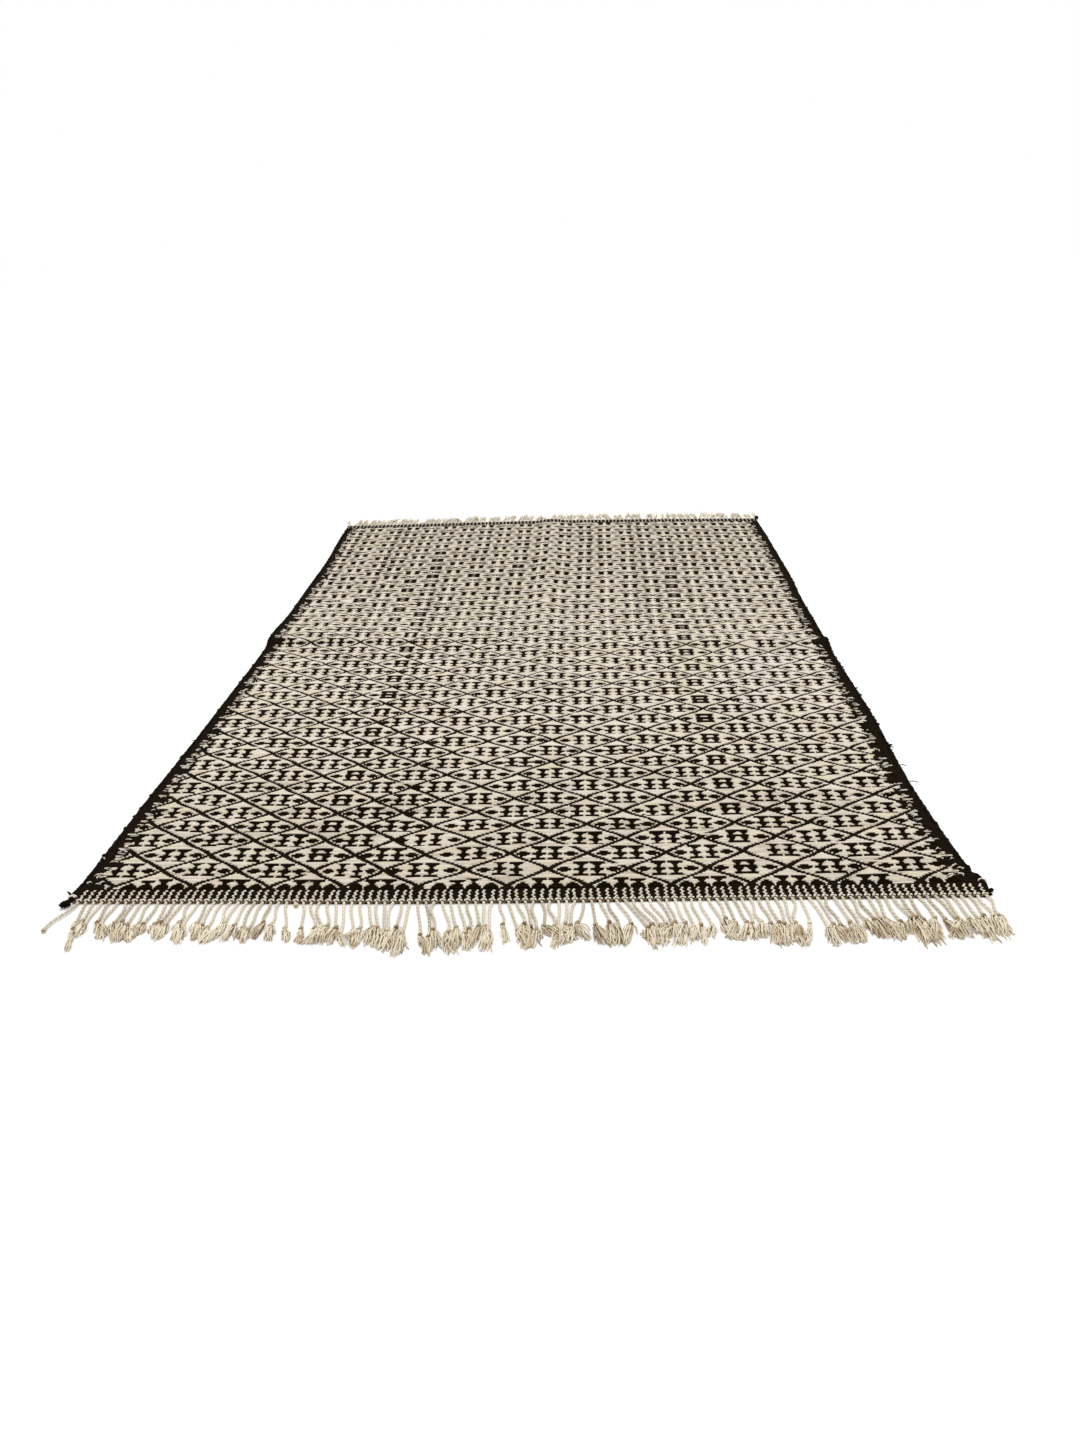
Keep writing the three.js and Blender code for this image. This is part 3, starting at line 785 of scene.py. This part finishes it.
NEAR_LEFT_STUB = np.array([(-908, -1442, 4), (-915, -1433, 6), (-921, -1426, 8),
                           (-927, -1421, 8)])
NEAR_RIGHT_STUB = np.array([(889, -1432, 4.5), (894, -1434, 5), (899, -1436.5, 4.5),
                            (904, -1437, 4)])
# Two thick turns that bulge out of the near right corner, the second a little further out.
BULGE = np.array([(886, -1368, 3.5), (893, -1382, 4.5), (897, -1397, 5), (898, -1414, 5),
                  (899, -1432, 4.5), (898, -1446, 3.5)])
SECOND_BULGE = BULGE + np.array([0, 3.5, 3.5, 3.5, 0, 0])[:, None] * (1, 0, 0)


def stray_threads():
    """A few thin black threads that stand out of the selvages."""
    draw = random_from(61)
    heap = Pile()
    along = np.linspace(0, 1, 7)
    for x, y, to_x, to_y in zip(*STRAYS.values()):
        line = np.stack([x + (to_x - x) * along,
                         y + (to_y - y) * along + 2.0 * np.sin(along * 7),
                         3.5 + 3.5 * np.sin(along * np.pi) + 0.8 * draw.random(7)], 1)
        heap.yarns(line[None], 1.1, 1.1, round_profile(4), 0.6, pointed=True)
    return heap.piece("stray_threads", black_wool)


def wound(heap, centre, toward, long, wide, high, turns, thick, tone):
    """A yarn wound into a small oblong knot that rests on the floor. Long, wide and high
    are its half sizes, and toward is the way it points."""
    u = np.linspace(-1, 1, int(turns * 9))
    angle = np.linspace(0, 2 * np.pi * turns, len(u))
    around = np.sqrt(np.clip(1 - u * u, 0.02, 1))
    side = np.array([-toward[1], toward[0]])
    flat = (np.array(centre)[:2] + np.outer(u * long, toward)
            + np.outer(np.cos(angle) * around * wide, side))
    z = thick + high * (1 + np.sin(angle) * around)
    heap.yarns(np.column_stack([flat, z])[None], thick, thick, round_profile(5), tone)


def corner_knots():
    """Black selvage yarns knotted or left as stubs at the corners."""
    made = []
    near_left = Pile()
    wound(near_left, (-914.5, -1462), (0.72, 0.69), 10.5, 6.5, 4.0, 4.5, 3.0, 0.5)
    wound(near_left, (-913.5, -1461.4), (-0.78, 0.62), 4.5, 6.0, 3.2, 2.5, 2.4, 0.7)
    near_left.yarns(NEAR_LEFT_STUB[None], [3.0, 3.0, 2.4, 1.4], 2.2, round_profile(5), 0.5)
    made.append((near_left, "near_left_knot"))
    near_right = Pile()
    wound(near_right, (905.5, -1436), (0.75, 0.66), 4.8, 3.2, 1.9, 3.0, 1.8, 0.5)
    near_right.yarns(NEAR_RIGHT_STUB[None], [2.6, 3.0, 2.6, 2.2], 2.0, round_profile(5), 0.5)
    for bulge in (BULGE, SECOND_BULGE):
        near_right.yarns(bulge[None], 3.4, 2.6, round_profile(5), 0.45, pointed=True)
    made.append((near_right, "near_right_stub"))
    far_right = Pile()
    wound(far_right, (904.0, 1469), (0.25, 0.97), 9.5, 6.0, 4.4, 3.5, 3.0, 0.5)
    made.append((far_right, "far_right_stub"))
    return [(heap.piece(node + "_yarn", black_wool), node) for heap, node in made]


CORDS = 111
FIRST_CORD_X = -893
LAST_CORD_X = 889
root_x = np.linspace(FIRST_CORD_X, LAST_CORD_X, CORDS)

PLAIT_LOBES = 6
PLAIT_REACH = 36.0
# Half length and sway of a lobe, its half width, and the sides of its section.
NEAR_PLAIT = (3.1, 1.3, 2.45, 4)
FAR_PLAIT = (2.2, 0.8, 2.1, 3)


def plaits(name, end_line, outward):
    """The row of small ivory plaits over the black band, one for each fringe cord."""
    draw = random_from(41 if outward > 0 else 42)
    heap = Pile()
    half_lobe, sway, thick, sides = FAR_PLAIT if outward > 0 else NEAR_PLAIT
    along = np.linspace(-1, 1, 5)
    edge = end_line(root_x) - outward * EDGE_DEPTH
    lines = []
    for i, x in enumerate(root_x):
        lean = draw.normal(0, 1.9)
        for lobe in range(PLAIT_LOBES):
            out = PLAIT_REACH * (lobe + 0.4) / PLAIT_LOBES
            turn = 1 if lobe % 2 else -1
            cx = x + lean * out / PLAIT_REACH + turn * sway + draw.normal(0, 0.3)
            cy = edge[i] - outward * (out + draw.normal(0, 0.3))
            half = half_lobe + draw.normal(0, 0.2)
            lines.append([(cx + half * t, cy - outward * turn * 2.0 * t,
                           lift(x, cy) + BAND_GROUND + 0.9 * (1 - t * t)) for t in along])
        # Two yarns that part from the plait's foot over the twined edge.
        for side in (-1, 1):
            lines.append([(x + side * (0.8 + 5.4 * t), edge[i] + outward * (6.0 * t - 2.0),
                           lift(x, edge[i]) + 3.6 + 2.2 * np.sin(np.pi * t))
                          for t in (along + 1) / 2])
    lines = np.array(lines, float)
    bulge = np.array([0.45, 0.95, 1, 0.95, 0.45])
    heap.yarns(lines, thick * bulge, 1.9 * bulge, round_profile(sides),
               np.clip(0.75 + draw.normal(0, 0.18, len(lines)), 0, 1), pointed=True)
    return heap.piece(name, ivory_wool)


def twisted_pair(heaps, line, turns, apart, thick, sides, tones):
    """Two plies twisted round each other along one line."""
    line = np.asarray(line, float)
    ahead = np.gradient(line, axis=0)
    ahead /= np.linalg.norm(ahead, axis=1, keepdims=True)
    side = np.cross(ahead, UP)
    side /= np.linalg.norm(side, axis=1, keepdims=True)
    rise = np.cross(side, ahead)
    turn = np.linspace(0, 2 * np.pi * turns, len(line))[:, None]
    for heap, start, tone in zip(heaps, (0, np.pi), tones):
        ply = line + apart * (side * np.cos(turn + start) + rise * np.sin(turn + start))
        heap.yarns(ply[None], thick, thick, round_profile(sides), tone)


TWINE_ENDS = (-905, 896)
TWINE_HEIGHT = 2.9
# Stations in one turn, sides of a ply, and its half width.
NEAR_TWINE = (8, 5, 1.8)
FAR_TWINE = (6, 4, 2.3)


def twined_edge(name, end_line, outward):
    """The twined edge: a brown yarn and a black or, at the far end, an ivory one. It makes
    one turn for each cord."""
    per_turn, sides, thick = FAR_TWINE if outward > 0 else NEAR_TWINE
    x = np.linspace(*TWINE_ENDS, CORDS * per_turn + 1)
    y = end_line(x) - outward * EDGE_DEPTH * 0.4
    z = lift(x, y) + TWINE_HEIGHT
    first, second = Pile(), Pile()
    twisted_pair((first, second), np.stack([x, y, z], 1), CORDS, 1.4, thick, sides, (0.55, 0.4))
    other, yarn = ("_ivory", ivory_wool) if outward > 0 else ("_black", black_wool)
    return first.piece(name + "_brown", brown_yarn), second.piece(name + other, yarn)


# ----- Fringe -----

# How much longer or shorter one cord of a bunch is than the next.
LENGTH_STEPS = (0, 5, -3, 7, -5, 2, -7, 4)

# Bunches of cords from left to right: number of cords, x of the first and last knot, how far
# out the knots and the tips lie, and how far the tufts sweep to the right.
NEAR_BUNCHES = table(
    "cords left right knot tip sweep",
    (1, -921, -921, 92, 99, -2), (1, -870, -870, 92, 165, 22), (2, -858, -846, 70, 108, 6),
    (7, -828, -733, 72, 132, 14), (3, -710, -683, 72, 130, 14), (3, -660, -630, 78, 134, 6),
    (5, -618, -557, 80, 134, 4), (2, -540, -524, 82, 126, 0), (2, -500, -485, 72, 124, -4),
    (1, -456, -456, 80, 130, 14), (1, -452, -452, 9, 19, 2), (1, -421, -421, 100, 142, 5),
    (4, -400, -360, 84, 142, 6), (2, -343, -325, 90, 145, 6), (3, -304, -280, 88, 150, 0),
    (4, -267, -228, 92, 168, 4), (3, -195, -168, 100, 165, 6), (3, -141, -116, 92, 165, -2),
    (4, -102, -66, 85, 152, 0), (1, -42, -42, 80, 142, 8), (5, -12, 36, 85, 152, -2),
    (5, 52, 100, 84, 148, 6), (4, 137, 198, 82, 150, 4), (7, 230, 302, 84, 155, -2),
    (3, 320, 350, 85, 138, -4), (6, 368, 440, 78, 135, 8), (5, 466, 510, 82, 155, 0),
    (1, 530, 530, 90, 155, -1), (5, 562, 620, 92, 148, 4), (5, 637, 699, 78, 142, 4),
    (3, 725, 748, 76, 155, 4), (2, 770, 785, 82, 145, 5), (3, 806, 829, 75, 135, 8),
    (2, 850, 862, 68, 140, -2), (2, 878, 893, 72, 136, 0))
FAR_BUNCHES = table(
    "cords left right knot tip sweep",
    (1, -906, -906, 66, 104, -3), (4, -862, -818, 66, 110, 4), (4, -800, -758, 60, 98, 3),
    (4, -738, -697, 68, 122, 6), (6, -666, -598, 64, 112, 5), (6, -560, -494, 68, 118, -3),
    (3, -478, -446, 62, 104, 4), (2, -434, -420, 46, 76, 2), (1, -400, -400, 70, 116, 3),
    (7, -378, -296, 72, 124, 5), (4, -275, -231, 64, 112, -2), (4, -206, -160, 66, 116, 4),
    (5, -142, -86, 70, 122, -2), (3, -54, -28, 62, 106, 4), (5, 2, 54, 68, 118, 3),
    (3, 74, 100, 70, 120, -3), (6, 122, 188, 66, 112, 3), (5, 206, 262, 72, 122, -2),
    (3, 286, 312, 58, 96, 3), (5, 338, 392, 70, 122, 4), (4, 424, 466, 64, 110, -4),
    (5, 500, 553, 70, 120, 3), (2, 571, 586, 64, 108, 2), (5, 606, 658, 66, 116, 4),
    (4, 686, 724, 68, 118, -3), (3, 752, 780, 58, 98, 4), (4, 797, 836, 68, 120, 3),
    (2, 861, 877, 62, 106, 3), (1, 906, 906, 66, 112, 4))


def laid_out(bunches):
    """Root, knot, tip and sweep of every cord of one end, the middle of its bunch, and
    whether it has neighbours in it."""
    cords = []
    for count, left, right, knot, tip, sweep in zip(*bunches.values()):
        for k in range(int(count)):
            share = k / (count - 1) if count > 1 else 0
            step = LENGTH_STEPS[len(cords) % len(LENGTH_STEPS)] if count > 1 else 0
            cords.append((root_x[len(cords)], left + (right - left) * share, knot + step / 2,
                          tip + step, sweep, (left + right) / 2, count > 1))
    return cords


def cord_line(root, knot_x, knot, stations, draw):
    """X and distance out of a cord's stations, in a slack bend from its root to its knot."""
    out = np.linspace(-2.0, knot, stations)
    u = np.clip(out / knot, 0, 1)
    straight = draw.uniform(0.1, 0.9)
    x = root + (knot_x - root) * (straight * u + (1 - straight) * smooth(u, 0, 1))
    bend = draw.normal(0, 2.2) * np.sin(u * np.pi)
    bend += draw.normal(0, 1.3) * np.sin(u * 2 * np.pi)
    return x + bend, out


TUFT_HEIGHT = 7.5


def tuft(heap, draw, at, outward, heading, length, tone, yarns, thick, lively, spread):
    """Crinkled loose yarns in a soft clump below a knot, piled on one another. Spread says
    how widely they fan out, and lively how high their tips stand."""
    along = np.r_[np.linspace(0, 0.95, len(thick) - 1), 1.0]
    level = np.linspace(0, 1, yarns)[:, None]
    fan = spread * draw.normal(0, 0.19, yarns)[:, None]
    reach = length * draw.uniform(0.74, 1.0, yarns)[:, None]
    reach = reach * np.maximum(1 - 6 * fan * fan, 0.5)
    angle = heading + 1.8 * fan - 2.0 * fan * along
    angle = angle + spread * draw.normal(0, 0.14, yarns)[:, None] * along
    steps = reach * np.diff(along, prepend=0)
    kink = draw.normal(0, 1.3, yarns)[:, None] * np.sin(
        along * draw.uniform(8, 20, yarns)[:, None] + draw.uniform(0, 6, yarns)[:, None])
    x = at[0] + 12 * fan + np.cumsum(np.sin(angle) * steps, 1) + kink * np.cos(heading)
    y = at[1] + outward * np.cumsum(np.cos(angle) * steps, 1) - kink * np.sin(heading)
    heap_up = np.sin(np.pi * np.clip(along * 0.8 + 0.2, 0, 1)) ** 0.7
    stray = np.minimum(draw.exponential(0.8, yarns), 2.2)[:, None]
    z = thick + level * TUFT_HEIGHT * heap_up + lively * stray * along
    # The lower yarns of the clump are painted darker: painted shade deep in the clump.
    tones = tone - 0.4 + 0.75 * level[:, 0] ** 0.7 + draw.normal(0, 0.14, yarns)
    heap.yarns(np.stack([x, y, z], -1), thick, thick * 0.85, round_profile(3),
               np.clip(tones, -0.2, 1), pointed=True)


# Stations in one turn of the twist, sides of a ply, millimetres to a turn, how far the
# plies stand from the middle, and their half width.
NEAR_STEM = (5, 4, 12.0, 1.5, 1.95)
FAR_STEM = (4, 3, 14.0, 1.8, 2.3)
KNOT_TURNS = 1.9
SHORTEST_TUFT = 12
# Half widths along one loose yarn.
NEAR_TUFT = np.array([0.8, 1.1, 1.2, 1.25, 1.25, 1.2, 1.1, 0.9])
FAR_TUFT = np.array([1.0, 1.1, 1.0, 0.8, 0.6])


def fringe(name, bunches, end_line, outward, fine):
    """The knotted cords of one end: two-ply stems, knots and loose tufts. The near end is
    the fine one, with more stations and more yarns in a tuft."""
    draw = random_from(51 if fine else 52)
    stems, knots, tufts = Pile(), Pile(), Pile()
    per_turn, sides, twist, apart, ply = NEAR_STEM if fine else FAR_STEM
    loose_yarns, lively = (17, 1) if fine else (6, 7)
    for root, knot_x, knot, tip, sweep, gathered, bunched in laid_out(bunches):
        tone = float(np.clip((0.5 if fine else 0.78) + draw.normal(0, 0.14), 0, 1))
        # The two cords without a tuft stay where they are.
        if tip - knot >= SHORTEST_TUFT:
            knot_x += draw.normal(0, 2.8)
            knot *= draw.uniform(0.88, 1.1) if fine else draw.uniform(0.4, 0.72)
        turns = max(knot / twist, 1.5)
        x, out = cord_line(root, knot_x, knot, int(turns * per_turn) + 1, draw)
        edge = float(end_line(root))
        y = edge + outward * out
        drop = smooth(out, 0, 14)
        high = (float(lift(root, edge)) + 4.6) * (1 - drop) + (apart + ply + 0.2) * drop
        line = np.stack([x, y, high + draw.uniform(0, 2.5) * np.sin(np.pi * drop / 2)], 1)
        twisted_pair((stems, stems), line, turns, apart, ply, sides, (tone + 0.12, tone - 0.2))
        around = np.linspace(0, 2 * np.pi * KNOT_TURNS, 15 if fine else 8)
        run = np.linspace(-4.5, 5.0, len(around)) + 1.4 * np.sin(around * 0.5)
        coil = np.stack([x[-1] + 3.2 * np.cos(around), y[-1] + outward * run,
                         4.4 + 2.9 * np.sin(around)], 1)
        # The knot's coil is painted darker than its cord: painted shade in the crevices round
        # the knot.
        knots.yarns(coil[None], 2.1, 2.0, round_profile(4), tone - draw.uniform(0.1, 0.75))
        length = tip - knot
        if length < SHORTEST_TUFT:
            continue
        heading = math.atan2(sweep - 0.3 * (knot_x - gathered), length) + draw.normal(0, 0.14)
        if draw.random() < 0.1:
            heading += draw.choice([-1, 1]) * draw.uniform(0.3, 0.7)
        shape = draw.uniform(1.15, 1.4) * NEAR_TUFT if fine else 1.25 * FAR_TUFT
        spread = 1.0 if bunched else 0.45 if length < 68 else 0.2
        tuft(tufts, draw, (x[-1], y[-1]), outward, heading, length * draw.uniform(0.85, 1.1),
             tone, loose_yarns, shape, lively, spread)
    return [stems.piece(name + "_cords", cord_yarn), knots.piece(name + "_knots", fringe_yarn),
            tufts.piece(name + "_tufts", fringe_yarn)]


# ----- Everything in place -----

ivory_cells, black_cells = weave_rows()
ground = belongs(ground_cloth(), "woven_field")
upper = [
    *floats("ivory_floats", ivory_cells, RELIEF, 3.2, 0.7, FLAT_PROFILE, ivory_rings,
            ivory_wool, 23),
    *floats("black_floats", black_cells, BLACK_RELIEF, 2.2, 1.0, PEAKED_PROFILE, black_rings,
            black_wool, 24),
    side_turns("left_side_turns", left_edge, -1), side_turns("right_side_turns", right_edge, 1),
    loose_ends("left_loose_ends", left_edge, -1, 71),
    loose_ends("right_loose_ends", right_edge, 1, 72), stray_threads(),
    plaits("near_plaits", near_end, -1), plaits("far_plaits", far_end, 1)]
for made in upper:
    belongs(made, "woven_field")
for end, line, outward, bunches, fine in (("near", near_end, -1, NEAR_BUNCHES, True),
                                          ("far", far_end, 1, FAR_BUNCHES, False)):
    for made in (*twined_edge(end + "_twined_edge", line, outward),
                 *fringe(end, bunches, line, outward, fine)):
        belongs(made, end + "_fringe")
for made, node in corner_knots():
    belongs(made, node)


# ----- Floor, light and camera -----

FLOOR_REACH = 30.0                      # metres
PALE, PALER = (0.90,) * 3, (0.93,) * 3
SUN_STRENGTH = 1.1
SUN_SOFTNESS = math.radians(35)
SUN_TILT = (math.radians(-24), math.radians(-4), 0)
LENS, SENSOR = 27, 36
YAW, PITCH, ROLL = 0.03800157, 0.43134266, -0.03007669
EYE = (0.10499, -3.22877, 1.20754)


def studio():
    """A plain pale floor under soft light from all round, and a little more from above."""
    pale = Finish("pale_floor", roughness=0.9, specular=0.0)
    pale.set("Base Color", pale.ramp(pale.noise((3, 3, 3)), (0.3, PALE), (0.7, PALER)))
    plane = bpy.data.meshes.new("floor")
    plane.from_pydata([(-FLOOR_REACH, -FLOOR_REACH, 0), (FLOOR_REACH, -FLOOR_REACH, 0),
                       (FLOOR_REACH, FLOOR_REACH, 0), (-FLOOR_REACH, FLOOR_REACH, 0)],
                      [], [(0, 1, 2, 3)])
    plane.materials.append(pale.material)
    floor = put("floor", plane)
    world = bpy.data.worlds.new("studio")
    world.use_nodes = True
    around = world.node_tree.nodes["Background"].inputs
    around["Color"].default_value = (1, 1, 1, 1)
    around["Strength"].default_value = 1.0
    bpy.context.scene.world = world
    light = bpy.data.lights.new("overhead", "SUN")
    light.angle = SUN_SOFTNESS
    light.energy = SUN_STRENGTH
    put("overhead", light).rotation_euler = SUN_TILT
    bpy.context.scene.view_settings.view_transform = "Standard"


def camera():
    """Where the photographer stood, worked out from the corners of the cloth."""
    right = Vector((1, 0, 0))
    ahead = Vector((0, math.cos(PITCH), -math.sin(PITCH)))
    above = Vector((0, math.sin(PITCH), math.cos(PITCH)))
    across = math.cos(ROLL) * right + math.sin(ROLL) * above
    up = -math.sin(ROLL) * right + math.cos(ROLL) * above
    turned = Matrix.Rotation(YAW, 3, "Z")
    axes = [turned @ v for v in (across, up, -ahead)]
    seen = bpy.data.cameras.new("camera")
    seen.sensor_width = SENSOR
    seen.lens = LENS
    seen.clip_start, seen.clip_end = 0.05, 100
    eye = put("camera", seen)
    facing = Matrix(axes).transposed().to_4x4()
    facing.translation = EYE
    eye.matrix_world = facing
    bpy.context.scene.camera = eye


studio()
camera()

bpy.context.view_layer.update()
